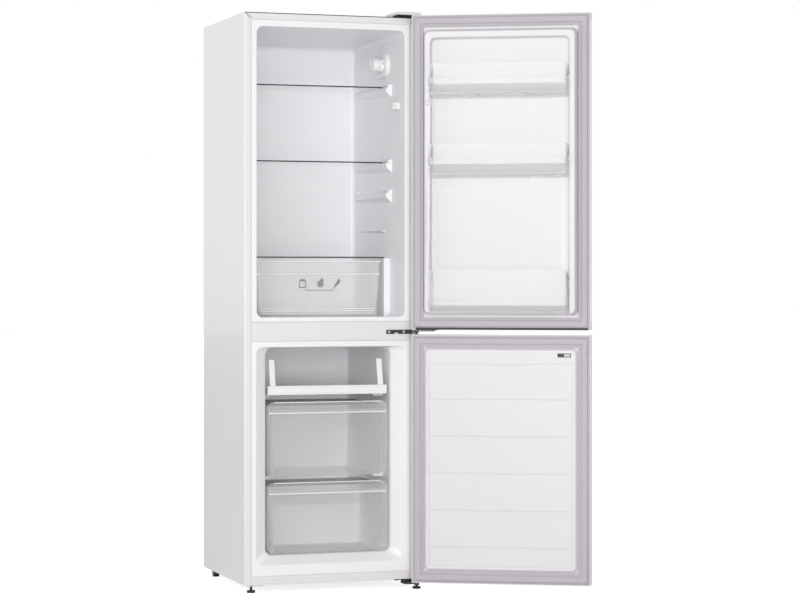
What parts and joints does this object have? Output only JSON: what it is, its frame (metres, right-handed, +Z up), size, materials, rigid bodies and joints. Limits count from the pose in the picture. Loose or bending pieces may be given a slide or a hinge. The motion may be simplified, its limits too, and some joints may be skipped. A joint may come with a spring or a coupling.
{
  "type": "bottom freezer refrigerator",
  "caption": "Free-standing white refrigerator with a freezer below, both doors hung on the right and standing open, with glass shelves, clear drawers and door racks.",
  "frame": {"origin": "on the floor, midway between the cabinet sides, in the plane of the cabinet front face", "axes": "+X to the right seen from the front, where the doors hang; +Y into the cabinet; +Z up"},
  "size_m": [1.0236, 0.8973, 1.772],
  "materials": {
    "shell_white": "satin",
    "galvanised": "satin",
    "liner_white": "satin",
    "cap_white": "satin",
    "inner_white": "satin",
    "foam": "matte",
    "seal_grey": "satin",
    "bush_grey": "satin",
    "hinge_black": "satin",
    "screw_steel": "satin",
    "clear_plastic": "gloss",
    "shelf_glass": "gloss",
    "black_plastic": "matte",
    "black_enamel": "satin",
    "copper": "satin",
    "evaporator_aluminium": "satin",
    "grommet_rubber": "matte",
    "lens_clear": "gloss"
  },
  "bodies": {
    "cabinet": {"back_panel": "galvanised", "base_plate": "galvanised", "bottom_front_rail": "shell_white", "bottom_hinge": "hinge_black", "cabinet_foam": "foam", "compressor": "black_enamel", "compressor_base": "galvanised", "compressor_grommets": "grommet_rubber", "condenser_clips": "black_plastic", "condenser_tube": "black_enamel", "condenser_wires": "black_enamel", "door_switch_body": "inner_white", "drain_tube": "cap_white", "evaporation_tray": "black_plastic", "freezer_evaporator": "evaporator_aluminium", "freezer_liner": "liner_white", "fridge_evaporator": "evaporator_aluminium", "fridge_liner": "liner_white", "hinge_screws": "screw_steel", "lamp_lens": "lens_clear", "middle_hinge": "hinge_black", "mullion_bar": "shell_white", "mullion_plugs": "cap_white", "refrigerant_pipes": "copper", "side_panel_left": "shell_white", "side_panel_right": "shell_white", "terminal_box": "black_plastic", "thermostat_housing": "inner_white", "top_hinge": "hinge_black", "top_hinge_cover": "cap_white", "top_panel": "shell_white"},
    "upper_door": {"upper_door_panel": "shell_white", "upper_door_caps": "cap_white", "upper_door_liner": "liner_white", "upper_door_foam": "foam", "upper_door_gasket": "seal_grey", "upper_door_bushes": "bush_grey", "upper_door_stop": "bush_grey"},
    "lower_door": {"lower_door_panel": "shell_white", "lower_door_caps": "cap_white", "lower_door_liner": "liner_white", "lower_door_foam": "foam", "lower_door_gasket": "seal_grey", "lower_door_bushes": "bush_grey"},
    "door_rack_upper": {"door_rack_upper": "clear_plastic"},
    "door_rack_middle": {"door_rack_middle": "clear_plastic"},
    "bottle_rack": {"bottle_rack": "clear_plastic"},
    "glass_shelf_upper": {"glass_shelf_upper": "shelf_glass"},
    "glass_shelf_middle": {"glass_shelf_middle": "shelf_glass"},
    "crisper_cover": {"crisper_cover": "shelf_glass"},
    "crisper": {"crisper": "clear_plastic"},
    "freezer_tray": {"freezer_tray": "inner_white"},
    "freezer_drawer_upper": {"freezer_drawer_upper": "clear_plastic"},
    "freezer_drawer_lower": {"freezer_drawer_lower": "clear_plastic"},
    "thermostat_knob": {"thermostat_knob": "inner_white"},
    "door_switch_plunger": {"door_switch_plunger": "inner_white"},
    "foot_left": {"foot_left": "black_plastic"},
    "foot_right": {"foot_right": "black_plastic"},
    "roller_left": {"roller_left": "black_plastic"},
    "roller_right": {"roller_right": "black_plastic"}
  },
  "joints": [
    {"name": "upper_door_swing", "type": "hinge", "parent": "cabinet", "child": "upper_door", "pos_m": [0.263, -0.035, 1.28], "axis": [0, 0, 1], "range_deg": [-152.3, 8]},
    {"name": "lower_door_swing", "type": "hinge", "parent": "cabinet", "child": "lower_door", "pos_m": [0.263, -0.035, 0.4], "axis": [0, 0, 1], "range_deg": [-152.3, 8]},
    {"name": "door_rack_upper_lift", "type": "slide", "parent": "upper_door", "child": "door_rack_upper", "axis": [0, 0, 1], "range_m": [0, 0.04]},
    {"name": "door_rack_middle_lift", "type": "slide", "parent": "upper_door", "child": "door_rack_middle", "axis": [0, 0, 1], "range_m": [0, 0.04]},
    {"name": "bottle_rack_lift", "type": "slide", "parent": "upper_door", "child": "bottle_rack", "axis": [0, 0, 1], "range_m": [0, 0.04]},
    {"name": "glass_shelf_upper_slide", "type": "slide", "parent": "cabinet", "child": "glass_shelf_upper", "axis": [0, -1, 0], "range_m": [0, 0.24]},
    {"name": "glass_shelf_middle_slide", "type": "slide", "parent": "cabinet", "child": "glass_shelf_middle", "axis": [0, -1, 0], "range_m": [0, 0.24]},
    {"name": "crisper_cover_slide", "type": "slide", "parent": "cabinet", "child": "crisper_cover", "axis": [0, -1, 0], "range_m": [0, 0.24]},
    {"name": "crisper_slide", "type": "slide", "parent": "cabinet", "child": "crisper", "axis": [0, -1, 0], "range_m": [0, 0.23]},
    {"name": "freezer_tray_slide", "type": "slide", "parent": "cabinet", "child": "freezer_tray", "axis": [0, -1, 0], "range_m": [0, 0.34]},
    {"name": "freezer_drawer_upper_slide", "type": "slide", "parent": "cabinet", "child": "freezer_drawer_upper", "axis": [0, -1, 0], "range_m": [0, 0.34]},
    {"name": "freezer_drawer_lower_slide", "type": "slide", "parent": "cabinet", "child": "freezer_drawer_lower", "axis": [0, -1, 0], "range_m": [0, 0.23]},
    {"name": "thermostat_turn", "type": "hinge", "parent": "cabinet", "child": "thermostat_knob", "pos_m": [0.195, 0.16, 1.624], "axis": [-1, 0, 0], "range_deg": [-150, 150]},
    {"name": "door_switch_press", "type": "slide", "parent": "cabinet", "child": "door_switch_plunger", "axis": [0, -1, 0], "range_m": [-0.006, 0], "stiffness_N_per_m": 120},
    {"name": "foot_left_turn", "type": "hinge", "parent": "cabinet", "child": "foot_left", "pos_m": [-0.245, 0.035, 0.01], "axis": [0, 0, 1], "continuous": true},
    {"name": "foot_right_turn", "type": "hinge", "parent": "cabinet", "child": "foot_right", "pos_m": [0.263, -0.035, 0.01], "axis": [0, 0, 1], "continuous": true},
    {"name": "roller_left_turn", "type": "hinge", "parent": "cabinet", "child": "roller_left", "pos_m": [-0.25, 0.445, 0.013], "axis": [1, 0, 0], "continuous": true},
    {"name": "roller_right_turn", "type": "hinge", "parent": "cabinet", "child": "roller_right", "pos_m": [0.25, 0.445, 0.013], "axis": [1, 0, 0], "continuous": true}
  ]
}
